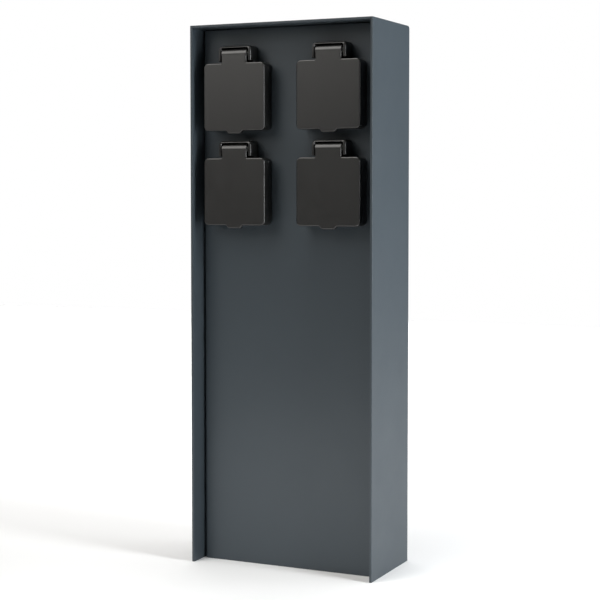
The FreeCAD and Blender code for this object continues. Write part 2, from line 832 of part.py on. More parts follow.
# The order of the wires mirrors from column to column, so the layers never cross in one plane
make_wire("wire_live", -1, d.contact_pitch / 2, 0)
make_wire("wire_earth", 0, 0, 1)
make_wire("wire_neutral", 1, -d.contact_pitch / 2, 2)
makers = {
    "housing": make_housing,
    "lid": make_lid,
    "lid_seal": make_seal,
    "hinge_pin": make_pin,
    "lid_spring": make_spring,
    "flange_gasket": make_gasket,
    "contact_carrier": make_carrier,
    "contacts": make_contacts,
    "earth_clip": make_earth_clip,
}
for where, (column, height) in socket_places.items():
    place = (column, panel_face - d.gasket_thick, height)
    for piece, maker in makers.items():
        maker(f"{piece}_{where}", place)

doc.recompute()
bodies = [item for item in doc.Objects if item.TypeId == "PartDesign::Body"]
for item in doc.Objects:
    if "Invalid" in item.State or "Error" in item.State:
        raise ValueError(f"{item.Label}: {item.State}")
for body in bodies:
    if body.Shape.isNull() or not body.Shape.isValid():
        raise ValueError(f"{body.Label} has no valid shape")
os.makedirs("parts", exist_ok=True)
for body in bodies:
    body.Shape.exportStep(f"parts/{body.Label}.step")
    print(f"{body.Label}: {body.Shape.Volume:.0f} mm3, {len(body.Shape.Solids)} solid")
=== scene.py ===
import math

import bmesh
import bpy
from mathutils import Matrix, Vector


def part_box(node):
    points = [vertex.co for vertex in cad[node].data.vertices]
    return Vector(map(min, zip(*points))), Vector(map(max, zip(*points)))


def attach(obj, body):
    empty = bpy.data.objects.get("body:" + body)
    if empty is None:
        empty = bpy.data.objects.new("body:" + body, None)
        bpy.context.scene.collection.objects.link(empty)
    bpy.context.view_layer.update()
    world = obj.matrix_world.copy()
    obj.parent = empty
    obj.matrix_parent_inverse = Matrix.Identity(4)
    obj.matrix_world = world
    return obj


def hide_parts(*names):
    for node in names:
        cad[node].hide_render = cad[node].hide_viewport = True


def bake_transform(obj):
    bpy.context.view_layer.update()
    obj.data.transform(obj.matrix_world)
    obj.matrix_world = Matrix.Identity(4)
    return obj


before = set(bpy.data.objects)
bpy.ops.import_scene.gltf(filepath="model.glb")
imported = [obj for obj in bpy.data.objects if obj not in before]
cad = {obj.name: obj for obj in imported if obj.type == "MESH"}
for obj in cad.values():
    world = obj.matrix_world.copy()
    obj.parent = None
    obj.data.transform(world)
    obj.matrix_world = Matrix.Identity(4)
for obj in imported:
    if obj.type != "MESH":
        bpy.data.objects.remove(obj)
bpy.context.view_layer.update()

# Hood. A back and a top folded from one 2 mm steel sheet, with a flat side sheet welded on each
# side and ground flush, then powder coated in anthracite. It slides down over the inner frame.
MM = 0.001
SHEET = 2.0
HOOD_HALF_WIDTH = 82.0
HOOD_HALF_DEPTH = 40.0
HOOD_HEIGHT = 450.0
HOOD_BEND = 3.0
SHEET_EDGE = 0.35
WELD_EDGE = 0.1
HOOD_SCREW_ACROSS = 71.5
HOOD_SCREW_UP = 45.0
SINK_HOLE = 2.0
SINK_RADIUS = 3.9
SINK_PAST = 0.3
SHARPEST_MITRE = 0.4
SMOOTH_ANGLE = 34
PATTERN_LOW = 0.3
PATTERN_HIGH = 0.7


def round_corners(corners, steps=6):
    """Outline through (across, up, radius) corners, with an arc of that radius at each."""
    outline = []
    for number, (across, up, radius) in enumerate(corners):
        here = Vector((across, up))
        if not radius:
            outline.append(here)
            continue
        before = (Vector(corners[number - 1][:2]) - here).normalized()
        after = (Vector(corners[(number + 1) % len(corners)][:2]) - here).normalized()
        half = before.angle(after) / 2
        centre = here + (before + after).normalized() * radius / math.sin(half)
        first = here + before * radius / math.tan(half) - centre
        last = here + after * radius / math.tan(half) - centre
        start = math.atan2(first.y, first.x)
        turn = math.remainder(math.atan2(last.y, last.x) - start, math.tau)
        for step in range(steps + 1):
            angle = start + turn * step / steps
            outline.append(centre + radius * Vector((math.cos(angle), math.sin(angle))))
    area = sum(a.cross(b) for a, b in zip(outline, outline[1:] + outline[:1]))
    return outline if area > 0 else outline[::-1]


def drawn_in(outline, inset):
    """The outline moved inward everywhere by the inset."""
    moved = []
    for number, here in enumerate(outline):
        arriving = (here - outline[number - 1]).normalized()
        leaving = (outline[(number + 1) % len(outline)] - here).normalized()
        inward = Vector((-arriving.y, arriving.x))
        middle = (inward + Vector((-leaving.y, leaving.x))).normalized()
        moved.append(here + middle * inset / max(middle.dot(inward), SHARPEST_MITRE))
    return moved


def stacked(name, rings, along, ring_shaped=False):
    """Closed mesh through outlines at their places along an axis. Sizes come in millimetres."""
    order = {"X": (2, 0, 1), "Y": (0, 2, 1), "Z": (0, 1, 2)}[along]
    shape = bmesh.new()
    loops = []
    for outline, place in rings:
        loop = []
        for point in outline:
            flat = (point.x, point.y, place)
            loop.append(shape.verts.new([flat[axis] * MM for axis in order]))
        loops.append(loop)
    following = loops[1:] + loops[:1] if ring_shaped else loops[1:]
    for loop, after in zip(loops, following):
        for number in range(len(loop)):
            beside = (number + 1) % len(loop)
            shape.faces.new((loop[number], loop[beside], after[beside], after[number]))
    if not ring_shaped:
        shape.faces.new(loops[0])
        shape.faces.new(loops[-1])
    bmesh.ops.recalc_face_normals(shape, faces=shape.faces)
    mesh = bpy.data.meshes.new(name)
    shape.to_mesh(mesh)
    shape.free()
    return mesh


def formed(name, outline, along, low, high, low_edge=0.0, high_edge=0.0, steps=3):
    """The outline carried along an axis from low to high, with its end edges rounded."""
    rings = []
    for end, edge, inward in ((low, low_edge, 1), (high, high_edge, -1)):
        bends = [math.pi / 2 * step / steps for step in range(steps + 1)] if edge else [0]
        side = [
            (drawn_in(outline, edge * (1 - math.sin(bend))), end + inward * edge * (1 - math.cos(bend)))
            for bend in bends
        ]
        rings += side if inward > 0 else side[::-1]
    return stacked(name, rings, along)


def circle_of(radius, across=0.0, up=0.0, count=48):
    turns = [math.tau * number / count for number in range(count)]
    return [Vector((across + radius * math.cos(t), up + radius * math.sin(t))) for t in turns]


def turned(name, profile, along, across=0.0, up=0.0, count=48):
    """Round solid through (radius, place) pairs along an axis."""
    rings = [(circle_of(radius, across, up, count), place) for radius, place in profile]
    return stacked(name, rings, along)


def combined(mesh, others, operation):
    """The mesh with the others cut out of it (DIFFERENCE) or joined to it (UNION)."""
    objects = [bpy.data.objects.new(part.name, part) for part in [mesh, *others]]
    for item in objects:
        bpy.context.scene.collection.objects.link(item)
    for tool in objects[1:]:
        step = objects[0].modifiers.new(tool.name, "BOOLEAN")
        step.operation = operation
        step.solver = "EXACT"
        step.object = tool
    graph = bpy.context.evaluated_depsgraph_get()
    result = bpy.data.meshes.new_from_object(objects[0].evaluated_get(graph))
    result.name = mesh.name
    for item in objects:
        bpy.data.objects.remove(item)
    return result


def add_piece(name, mesh, finish, nodes, body="column", place=(0, 0, 0)):
    """Puts a mesh in its place and on its body, shaded smooth and led by its large flat faces."""
    item = bpy.data.objects.new(name, mesh)
    bpy.context.scene.collection.objects.link(item)
    item.location = place
    if not mesh.materials:
        mesh.materials.append(finish)
    mesh.shade_smooth()
    mesh.set_sharp_from_angle(angle=math.radians(SMOOTH_ANGLE))
    weights = item.modifiers.new("face_weights", "WEIGHTED_NORMAL")
    weights.keep_sharp = True
    if body:
        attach(item, body)
    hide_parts(*nodes)
    return item


def colour(red, green, blue):
    """A display colour of 0 to 255 as the renderer's own."""
    parts = [value / 255 for value in (red, green, blue)]
    return (*[((p + 0.055) / 1.055) ** 2.4 if p > 0.04 else p / 12.92 for p in parts], 1.0)


class Finish:
    """A material with a base shader, to which variation, grain and relief are added."""

    def __init__(self, name, tint, roughness, metallic=0.0, specular=0.5):
        self.material = bpy.data.materials.new(name)
        self.material.use_nodes = True
        self.tree = self.material.node_tree
        self.shader = self.tree.nodes["Principled BSDF"]
        self.shader.inputs["Base Color"].default_value = tint
        self.shader.inputs["Roughness"].default_value = roughness
        self.shader.inputs["Metallic"].default_value = metallic
        self.shader.inputs["Specular IOR Level"].default_value = specular
        self.place = self.tree.nodes.new("ShaderNodeTexCoord").outputs["Object"]
        self.relief = None

    def noise(self, scale, detail=2.0, stretch=(1, 1, 1)):
        spread = self.tree.nodes.new("ShaderNodeMapping")
        spread.inputs["Scale"].default_value = stretch
        self.tree.links.new(self.place, spread.inputs["Vector"])
        node = self.tree.nodes.new("ShaderNodeTexNoise")
        node.inputs["Scale"].default_value = scale
        node.inputs["Detail"].default_value = detail
        self.tree.links.new(spread.outputs["Vector"], node.inputs["Vector"])
        return node.outputs["Fac"]

    def cells(self, scale):
        node = self.tree.nodes.new("ShaderNodeTexVoronoi")
        node.inputs["Scale"].default_value = scale
        self.tree.links.new(self.place, node.inputs["Vector"])
        split = self.tree.nodes.new("ShaderNodeSeparateColor")
        self.tree.links.new(node.outputs["Color"], split.inputs["Color"])
        return split.outputs["Red"]

    def ramp_by(self, pattern, stops):
        """Colours the base through a ramp of (place, tint) stops over the pattern."""
        ramp = self.tree.nodes.new("ShaderNodeValToRGB")
        while len(ramp.color_ramp.elements) < len(stops):
            ramp.color_ramp.elements.new(0.5)
        for element, (place, tint) in zip(ramp.color_ramp.elements, stops):
            element.position = place
            element.color = tint
        self.tree.links.new(pattern, ramp.inputs["Fac"])
        self.tree.links.new(ramp.outputs["Color"], self.shader.inputs["Base Color"])

    def tint_by(self, pattern, dark, light):
        self.ramp_by(pattern, [(PATTERN_LOW, dark), (PATTERN_HIGH, light)])

    def rough_by(self, pattern, low, high):
        span = self.tree.nodes.new("ShaderNodeMapRange")
        span.inputs["From Min"].default_value = PATTERN_LOW
        span.inputs["From Max"].default_value = PATTERN_HIGH
        span.inputs["To Min"].default_value = low
        span.inputs["To Max"].default_value = high
        self.tree.links.new(pattern, span.inputs["Value"])
        self.tree.links.new(span.outputs["Result"], self.shader.inputs["Roughness"])

    def relief_by(self, pattern, depth_mm, strength):
        """Raises the surface by the pattern, on top of any relief already there."""
        bump = self.tree.nodes.new("ShaderNodeBump")
        bump.inputs["Distance"].default_value = depth_mm * MM
        bump.inputs["Strength"].default_value = strength
        self.tree.links.new(pattern, bump.inputs["Height"])
        if self.relief:
            self.tree.links.new(self.relief, bump.inputs["Normal"])
        self.relief = bump.outputs["Normal"]
        self.tree.links.new(self.relief, self.shader.inputs["Normal"])


def powder_coat(name, dark, light, low, high):
    """Baked powder: broad drift of tone, the orange peel of the melt and a fine tooth on it."""
    coat = Finish(name, light, high, specular=0.45)
    coat.tint_by(coat.noise(scale=9, detail=4), dark, light)
    coat.rough_by(coat.noise(scale=40, detail=3), low, high)
    coat.relief_by(coat.noise(scale=420, detail=2), depth_mm=0.05, strength=0.35)
    coat.relief_by(coat.noise(scale=1900, detail=1), depth_mm=0.015, strength=0.5)
    return coat.material


hood_coat = powder_coat("hood_powder_coat", colour(54, 62, 68), colour(57, 65, 71), low=0.46, high=0.5)

fold = round_corners([
    (-HOOD_HALF_DEPTH, HOOD_HEIGHT - SHEET, SHEET_EDGE),
    (-HOOD_HALF_DEPTH, HOOD_HEIGHT, SHEET_EDGE),
    (HOOD_HALF_DEPTH, HOOD_HEIGHT, HOOD_BEND),
    (HOOD_HALF_DEPTH, 0, SHEET_EDGE),
    (HOOD_HALF_DEPTH - SHEET, 0, SHEET_EDGE),
    (HOOD_HALF_DEPTH - SHEET, HOOD_HEIGHT - SHEET, HOOD_BEND - SHEET),
])
fold_half = HOOD_HALF_WIDTH - SHEET
hood_fold = formed("hood_fold", fold, "X", -fold_half, fold_half)
countersink = [
    (SINK_HOLE, HOOD_HALF_DEPTH - 2 * SHEET),
    (SINK_HOLE, HOOD_HALF_DEPTH - SINK_RADIUS + SINK_HOLE),
    (SINK_RADIUS, HOOD_HALF_DEPTH),
    (SINK_RADIUS + SINK_PAST, HOOD_HALF_DEPTH + SINK_PAST),
]
sinks = [
    turned("countersink", countersink, "Y", side * HOOD_SCREW_ACROSS, HOOD_SCREW_UP) for side in (-1, 1)
]
hood_fold = combined(hood_fold, sinks, "DIFFERENCE")
add_piece("hood_fold", hood_fold, hood_coat, nodes=["hood_back_top"])

cheek = round_corners([
    (-HOOD_HALF_DEPTH, 0, SHEET_EDGE),
    (HOOD_HALF_DEPTH, 0, SHEET_EDGE),
    (HOOD_HALF_DEPTH, HOOD_HEIGHT, HOOD_BEND),
    (-HOOD_HALF_DEPTH, HOOD_HEIGHT, SHEET_EDGE),
])
for side, span, edges in (
    ("left", (-HOOD_HALF_WIDTH, -fold_half), (SHEET_EDGE, WELD_EDGE)),
    ("right", (fold_half, HOOD_HALF_WIDTH), (WELD_EDGE, SHEET_EDGE)),
):
    sheet = formed(f"hood_cheek_{side}", cheek, "X", *span, *edges)
    add_piece(f"hood_cheek_{side}", sheet, hood_coat, nodes=[f"hood_side_{side}"])

# Hood screws. Zinc plated countersunk screws with a six-sided socket, one near each lower rear
# corner. They pass the back sheet and bite in the frame's flanges, their heads level with the sheet.
SCREW_RADIUS = 1.9
HOOD_SCREW_LENGTH = 8.0
SUNK_HEAD = 3.75
SUNK_FACE = 3.68
SUNK_RIM = 0.12
HEX_KEY = 1.4
HEX_DEPTH = 1.3
CUT_PAST = 1.0


def zinc_plate(name):
    plate = Finish(name, colour(190, 192, 195), 0.3, metallic=1.0)
    plate.tint_by(plate.noise(scale=300, detail=3), colour(165, 166, 166), colour(204, 206, 209))
    plate.rough_by(plate.noise(scale=900), low=0.26, high=0.42)
    plate.relief_by(plate.noise(scale=2500), depth_mm=0.01, strength=0.4)
    return plate.material


screw_zinc = zinc_plate("screw_zinc")
sunk_profile = [
    (SCREW_RADIUS, HOOD_HALF_DEPTH - HOOD_SCREW_LENGTH),
    (SCREW_RADIUS, HOOD_HALF_DEPTH - SHEET),
    (SUNK_HEAD, HOOD_HALF_DEPTH - SUNK_RIM),
    (SUNK_FACE, HOOD_HALF_DEPTH),
]
pair = []
for side in (-1, 1):
    spot = (side * HOOD_SCREW_ACROSS, HOOD_SCREW_UP)
    screw = turned(f"sunk_screw_{side}", sunk_profile, "Y", *spot)
    hexagon = circle_of(HEX_KEY, *spot, count=6)
    key = formed("key_socket", hexagon, "Y", HOOD_HALF_DEPTH - HEX_DEPTH, HOOD_HALF_DEPTH + CUT_PAST)
    pair.append(combined(screw, [key], "DIFFERENCE"))
add_piece("hood_screw_pair", combined(pair[0], pair[1:], "UNION"), screw_zinc,
          nodes=["hood_screws"])

# Inner frame. One 1.5 mm sheet makes the recessed front, folded back along both sides and in
# again at the rear as flanges for the hood. It stands on the ground. Its coat is the hood's powder
# coat, copied one step darker as painted shade for the recess.
PANEL_HALF = 78.5
PANEL_FACE = -22.5
PANEL_SHEET = 1.5
PANEL_TOP = 447.0
REAR_INSIDE = 38.0
REAR_FLANGE = 14.0
BEND_OUTSIDE = 2.0
BEND_INSIDE = 0.5
CUT_CORNER = 0.3
SHEET_BREAK = 0.2
WINDOW_HALF = 22.0
WINDOW_CUT = 12.0
WINDOW_REACH = 5.0
CATCH_EDGE = 0.25
SHARP_FROM = 40

# Painted shade: the hood's powder coat, copied one step darker for the shade in the recess.
panel_coat_painted_shade = powder_coat("panel_powder_coat_painted_shade", colour(53, 61, 67), colour(56, 64, 70), low=0.46, high=0.5)
half_plan = [
    (PANEL_HALF, PANEL_FACE, BEND_OUTSIDE),
    (PANEL_HALF, REAR_INSIDE, BEND_OUTSIDE),
    (PANEL_HALF - REAR_FLANGE, REAR_INSIDE, CUT_CORNER),
    (PANEL_HALF - REAR_FLANGE, REAR_INSIDE - PANEL_SHEET, CUT_CORNER),
    (PANEL_HALF - PANEL_SHEET, REAR_INSIDE - PANEL_SHEET, BEND_INSIDE),
    (PANEL_HALF - PANEL_SHEET, PANEL_FACE + PANEL_SHEET, BEND_INSIDE),
]
plan = round_corners(half_plan + [(-across, back, radius) for across, back, radius in half_plan[::-1]])
panel = formed("front_sheet", plan, "Z", 0, PANEL_TOP, SHEET_BREAK, SHEET_BREAK)

sockets = {}
for where in ("upper_left", "upper_right", "lower_left", "lower_right"):
    low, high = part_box(f"flange_gasket_{where}")
    sockets[where] = ((low[0] + high[0]) / 2, low[1], (low[2] + high[2]) / 2)


def cut_corner_square(half, cut, across=0.0, up=0.0):
    corners = [(half, half), (-half, half), (-half, -half), (half, -half)]
    outline = []
    for number, (x, z) in enumerate(corners):
        down_side = (x, z - math.copysign(cut, z))
        along_side = (x - math.copysign(cut, x), z)
        outline += [along_side, down_side] if number % 2 else [down_side, along_side]
    return [Vector((across + x, up + z)) for x, z in outline]


windows = []
for x, y, z in sockets.values():
    window = cut_corner_square(WINDOW_HALF, WINDOW_CUT, x / MM, z / MM)
    windows.append(formed("window", window, "Y", PANEL_FACE - WINDOW_REACH, PANEL_FACE + WINDOW_REACH))
add_piece("front_sheet", combined(panel, windows, "DIFFERENCE"), panel_coat_painted_shade,
          nodes=["front_panel"])


def broken_edges(node, finish, width, segments=2):
    """A CAD node kept as it is, with its sharp edges broken and its own finish."""
    item = cad[node]
    item.data.materials.clear()
    item.data.materials.append(finish)
    edge = item.modifiers.new("broken_edges", "BEVEL")
    edge.width = width * MM
    edge.segments = segments
    edge.limit_method = "ANGLE"
    edge.angle_limit = math.radians(SHARP_FROM)


# The top catch gets the panel's coat, painted shade included.
broken_edges("top_catch", panel_coat_painted_shade, CATCH_EDGE)

# Ground plate. Galvanised 2 mm sheet inside the foot of the frame, an upstand welded to each
# return, with four holes for the anchor bolts and a large one for the ground cable.
PLATE_REACH = 77.0
PLATE_FRONT = PANEL_FACE + 2.0
PLATE_REAR = REAR_INSIDE - 2.0
UPSTAND = 22.0
CABLE_RADIUS = 14.0
ANCHOR_RADIUS = 4.5
ANCHOR_ACROSS = 55.0
ANCHOR_ALONG = 16.0


def galvanised(name):
    """Hot dip zinc with its spangle, each crystal in a tone and gloss of its own."""
    coat = Finish(name, colour(176, 180, 183), 0.45, metallic=1.0)
    spangle = coat.cells(scale=95)
    tints = [colour(150, 154, 158), colour(176, 180, 184), colour(199, 202, 204)]
    coat.ramp_by(spangle, list(zip((0.0, 0.55, 1.0), tints)))
    coat.rough_by(spangle, low=0.34, high=0.55)
    coat.relief_by(coat.noise(scale=600, detail=3), depth_mm=0.02, strength=0.4)
    return coat.material


plate_zinc = galvanised("plate_galvanised")
channel = round_corners([
    (-PLATE_REACH, 0, BEND_OUTSIDE),
    (PLATE_REACH, 0, BEND_OUTSIDE),
    (PLATE_REACH, UPSTAND, CUT_CORNER),
    (PLATE_REACH - SHEET, UPSTAND, CUT_CORNER),
    (PLATE_REACH - SHEET, SHEET, BEND_INSIDE),
    (-PLATE_REACH + SHEET, SHEET, BEND_INSIDE),
    (-PLATE_REACH + SHEET, UPSTAND, CUT_CORNER),
    (-PLATE_REACH, UPSTAND, CUT_CORNER),
])
ground_plate = formed("ground_plate", channel, "Y", PLATE_FRONT, PLATE_REAR, SHEET_BREAK, SHEET_BREAK)
plate_middle = (PLATE_FRONT + PLATE_REAR) / 2
cable_hole = [(CABLE_RADIUS, -CUT_PAST), (CABLE_RADIUS, SHEET + CUT_PAST)]
anchor_hole = [(ANCHOR_RADIUS, -CUT_PAST), (ANCHOR_RADIUS, SHEET + CUT_PAST)]
punched = [turned("cable_hole", cable_hole, "Z", 0, plate_middle, 64)]
for side in (-1, 1):
    for end in (-1, 1):
        spot = (side * ANCHOR_ACROSS, plate_middle + end * ANCHOR_ALONG)
        punched.append(turned("anchor_hole", anchor_hole, "Z", *spot, 40))
add_piece("ground_plate", combined(ground_plate, punched, "DIFFERENCE"), plate_zinc,
          nodes=["base_plate"])

# Socket housings. Each is moulded in black glass-filled plastic: a square collar with a sealing
# rim, the round dish for the plug, and above it a hinge block with two ears. Screwed to the panel.
COLLAR_HALF_WIDTH = 27.8
COLLAR_HALF_HEIGHT = 27.6
COLLAR_DEPTH = 6.5
COLLAR_CORNER = 4.2
COLLAR_EDGE = 0.5
COLLAR_BACK_EDGE = 0.2
RIM_HALF = 25.0
RIM_FRONT = 10.8
RIM_CORNER = 2.0
RIM_EDGE = 0.4
RIM_WALL = 2.0
POCKET_CORNER = 1.2
FACE_LEVEL = 9.5
DISH_RADIUS = 19.5
DISH_DEPTH = 17.5
DISH_MOUTH = ((1.6, -1.0), (0.7, -0.1), (0.3, 0.35), (0.0, 1.2))
FLOOR_AHEAD = FACE_LEVEL - DISH_DEPTH
BOSS_FRONT = -1.0
BOSS_BACK = FLOOR_AHEAD - 2.0
BOSS_HALF = 21.5
BOSS_CUT = 12.0
BOSS_EDGE = 0.3
GUIDE_HALF = 2.3
GUIDE_REACH = 2.0
GUIDE_TOP = 3.0
GUIDE_CORNER = 0.6
GUIDE_EDGE = 0.5
ROOTED = 0.5
CONTACT_REACH = 9.5
CONTACT_RADIUS = 2.75
CONTACT_MOUTH = ((0.7, -0.5), (0.4, 0.0), (0.0, 0.5))
CLIP_REACH = 17.5
CLIP_SLOT_HALF_WIDTH = 2.7
CLIP_SLOT_HALF_HEIGHT = 0.8
CLIP_SLOT_CORNER = 0.3
SCREW_REACH = 19.0
SCREW_SLACK = 0.2
RECESS_HALF = 4.0
RECESS_CORNER = 0.8
FLANGE_THICK = 3.0
AXIS_AHEAD = 10.6
AXIS_UP = 35.0
PIN_RADIUS = 1.25
PIN_END = 13.2
BLOCK_HALF = 15.0
BLOCK_TOP = AXIS_UP + 6.9
BLOCK_CORNER = 3.0
BLOCK_WALL = 2.5
ROOF = 1.6
GAP_HALF = 12.2
GAP_CORNER = 1.2
GAP_RISE = 0.3
GAP_STEPS = 5
BROW = 3.0
CHIN = 1.4
ARCH_STEPS = 9
EAR_ROUND = 1.2
EAR_FRONT = AXIS_AHEAD + 2.5
EAR_FOOT = AXIS_UP - 5.8
EAR_CORNER = 0.5
PLINTH_HALF = 3.0
PLINTH_BELOW = 1.5
PLINTH_CORNER = 0.6
PLINTH_EDGE = 0.4
PLINTH_SUNK = 0.05


def rounded_rectangle(half_width, half_height, radius, across=0.0, up=0.0, steps=6):
    return round_corners([
        (across + half_width, up - half_height, radius),
        (across + half_width, up + half_height, radius),
        (across - half_width, up + half_height, radius),
        (across - half_width, up - half_height, radius),
    ], steps)


def moulded_plastic(name, dark, light, low, high, specular=0.5):
    """Injection moulded plastic: spark-eroded grain, faint flow marks and a satin skin."""
    skin = Finish(name, light, high, specular=specular)
    skin.tint_by(skin.noise(scale=45, detail=4, stretch=(1, 1, 0.5)), dark, light)
    skin.rough_by(skin.noise(scale=120, detail=3), low, high)
    skin.relief_by(skin.noise(scale=1500, detail=2), depth_mm=0.02, strength=0.35)
    return skin.material


housing_plastic = moulded_plastic("housing_plastic", colour(12, 12, 12), colour(16, 16, 15),
                                  low=0.34, high=0.38, specular=0.85)


def rounding(radius, behind):
    """How far a rounded edge has drawn in, at a distance behind its foremost line."""
    return radius - math.sqrt(radius**2 - max(radius - behind, 0) ** 2)


def hinge_arch():
    """Solid arch whose front edges are rounded: most at the brow, less at the sides and chin."""
    rings = [(0.0, 0.0, 0.0, 0.0)]
    for step in range(ARCH_STEPS + 1):
        behind = BROW * (1 - math.sin(math.pi / 2 * step / ARCH_STEPS))
        edges = [rounding(radius, behind) for radius in (EAR_ROUND, BROW, CHIN)]
        rings.append((behind - EAR_FRONT, *edges))
    outlines = []
    for place, side, brow, chin in rings:
        half = BLOCK_HALF - side
        outline = round_corners([
            (half, EAR_FOOT + chin, EAR_CORNER),
            (half, BLOCK_TOP - brow, BLOCK_CORNER),
            (-half, BLOCK_TOP - brow, BLOCK_CORNER),
            (-half, EAR_FOOT + chin, EAR_CORNER),
        ], steps=8)
        outlines.append((outline, place))
    return stacked("hinge_arch", outlines, "Y")


def barrel_gap():
    """The room for the barrel under the roof, its mouth rounded more at the ears than above."""
    rings = []
    for step in range(GAP_STEPS + 1):
        bend = math.pi / 2 * step / GAP_STEPS
        rings.append((1 - math.sin(bend), EAR_ROUND * (1 - math.cos(bend)) - EAR_FRONT))
    places = [(1.0, -EAR_FRONT - CUT_PAST), *rings, (0.0, -BLOCK_WALL)]
    outlines = []
    for opened, place in places:
        half = GAP_HALF + EAR_ROUND * opened
        top = BLOCK_TOP - ROOF + GAP_RISE * opened
        outline = round_corners([
            (half, COLLAR_HALF_HEIGHT, 0),
            (half, top, GAP_CORNER),
            (-half, top, GAP_CORNER),
            (-half, COLLAR_HALF_HEIGHT, 0),
        ])
        outlines.append((outline, place))
    return stacked("barrel_gap", outlines, "Y")


def housing_solid():
    """Collar, rim, boss and hinge block in one, still without its hollows."""
    outside = rounded_rectangle(COLLAR_HALF_WIDTH, COLLAR_HALF_HEIGHT, COLLAR_CORNER)
    collar = formed("collar", outside, "Y", -COLLAR_DEPTH, 0, COLLAR_EDGE, COLLAR_BACK_EDGE)
    rim_outline = rounded_rectangle(RIM_HALF, RIM_HALF, RIM_CORNER)
    rim = formed("rim", rim_outline, "Y", -RIM_FRONT, BOSS_FRONT, RIM_EDGE)
    boss_outline = cut_corner_square(BOSS_HALF, BOSS_CUT)
    boss = formed("boss", boss_outline, "Y", BOSS_FRONT, -BOSS_BACK, 0, BOSS_EDGE)
    foot = rounded_rectangle(BLOCK_HALF, PLINTH_HALF, PLINTH_CORNER, 0, EAR_FOOT - PLINTH_BELOW, steps=4)
    plinth = formed("hinge_plinth", foot, "Y", -COLLAR_DEPTH + PLINTH_SUNK, -PLINTH_SUNK, PLINTH_EDGE)
    return combined(collar, [rim, boss, plinth, hinge_arch()], "UNION")


def housing_mesh():
    """One housing about its own centre: forward is -Y from the back of its flange."""
    floor = -FLOOR_AHEAD
    through = -BOSS_BACK + CUT_PAST
    pocket = rounded_rectangle(RIM_HALF - RIM_WALL, RIM_HALF - RIM_WALL, POCKET_CORNER)
    dish = [(DISH_RADIUS + wider, -FACE_LEVEL + deeper) for wider, deeper in DISH_MOUTH]
    dish.append((DISH_RADIUS, floor))
    pin_hole = [(PIN_RADIUS, -BLOCK_HALF - CUT_PAST), (PIN_RADIUS, PIN_END)]
    hollows = [
        formed("face_pocket", pocket, "Y", -RIM_FRONT - CUT_PAST, -FACE_LEVEL),
        turned("dish", dish, "Y", count=96),
        barrel_gap(),
        turned("pin_hole", pin_hole, "X", -AXIS_AHEAD, AXIS_UP, 32),
    ]
    funnel = [(CONTACT_RADIUS + wider, floor + deeper) for wider, deeper in CONTACT_MOUTH]
    funnel.append((CONTACT_RADIUS, through))
    screw_hole = SCREW_RADIUS + SCREW_SLACK
    hole = [(screw_hole, -FLANGE_THICK - CUT_PAST), (screw_hole, CUT_PAST)]
    for side in (-1, 1):
        for up in (-1, 1):
            nook = rounded_rectangle(RECESS_HALF, RECESS_HALF, RECESS_CORNER,
                                     side * SCREW_REACH, up * SCREW_REACH, steps=4)
            hollows.append(formed("screw_recess", nook, "Y", -FACE_LEVEL - CUT_PAST, -FLANGE_THICK))
        hollows.append(turned("screw_hole", hole, "Y", side * SCREW_REACH, -side * SCREW_REACH, 32))
        hollows.append(turned("contact_entry", funnel, "Y", side * CONTACT_REACH, 0, 40))
        slot = rounded_rectangle(CLIP_SLOT_HALF_WIDTH, CLIP_SLOT_HALF_HEIGHT, CLIP_SLOT_CORNER,
                                 0, side * CLIP_REACH, steps=4)
        hollows.append(formed("clip_slot", slot, "Y", floor - CUT_PAST, through))
    hollow = combined(housing_solid(), hollows, "DIFFERENCE")
    guides = []
    for side in (-1, 1):
        middle = side * (DISH_RADIUS + (ROOTED - GUIDE_REACH) / 2)
        bar = rounded_rectangle((GUIDE_REACH + ROOTED) / 2, GUIDE_HALF, GUIDE_CORNER, middle, 0, steps=4)
        guides.append(formed("guide_rib", bar, "Y", GUIDE_TOP - FACE_LEVEL, floor + ROOTED, GUIDE_EDGE))
    return combined(hollow, guides, "UNION")


housing = housing_mesh()
for where, place in sockets.items():
    add_piece(f"socket_housing_{where}", housing, housing_plastic,
              nodes=[f"housing_{where}"], place=place)

# Lids. Satin charcoal plastic trays with rounded edges, a neck that curls up into the hinge
# barrel, a lifting tab below and a rib inside that holds the seal. Each turns on a steel pin.
LID_HALF_WIDTH = 28.0
LID_HALF_HEIGHT = 27.8
LID_FRONT = 14.5
LID_DEPTH = 7.5
LID_PLATE = 2.2
LID_WALL = 1.5
LID_WALL_EDGE = 0.3
LID_CORNER = 3.75
LID_EDGE = 1.1
RIB_HALF_WIDTH = 22.1
RIB_HALF_HEIGHT = 21.9
RIB_CORNER = 1.5
RIB_HEIGHT = 1.4
RIB_WALL = 1.0
RIB_EDGE = 0.2
NECK_CORNER = 0.9
BARREL_RADIUS = 3.9
BARREL_HALF = 11.45
BARREL_EDGE = 0.4
BORE_RADIUS = 1.3
BORE_HALF = 13.0
NEST_HALF = 2.45
NEST_BACK = 4.9
NEST_FOOT = 4.0
NEST_LENGTH = 7.0
NEST_CORNER = 0.4
TAB_ROOT = 7.75
TAB_TIP = 5.6
TAB_DROP = 2.4
TAB_ROOT_CORNER = 0.8
TAB_TIP_CORNER = 1.2

lid_plastic = moulded_plastic("lid_plastic", colour(13, 12, 11), colour(17, 16, 14),
                              low=0.34, high=0.37, specular=0.85)


def frame_round(name, path, profile):
    """A closed frame: the profile of (outward, place along Y) carried round the path."""
    return stacked(name, [(drawn_in(path, -out), place) for out, place in profile], "Y", ring_shaped=True)


def wall_profile(foot, top, wall, edge):
    """Section of a wall that stands inward of its path, with its top edges broken."""
    return [
        (0, foot), (0, top - edge), (-edge, top),
        (edge - wall, top), (-wall, top - edge), (-wall, foot),
    ]


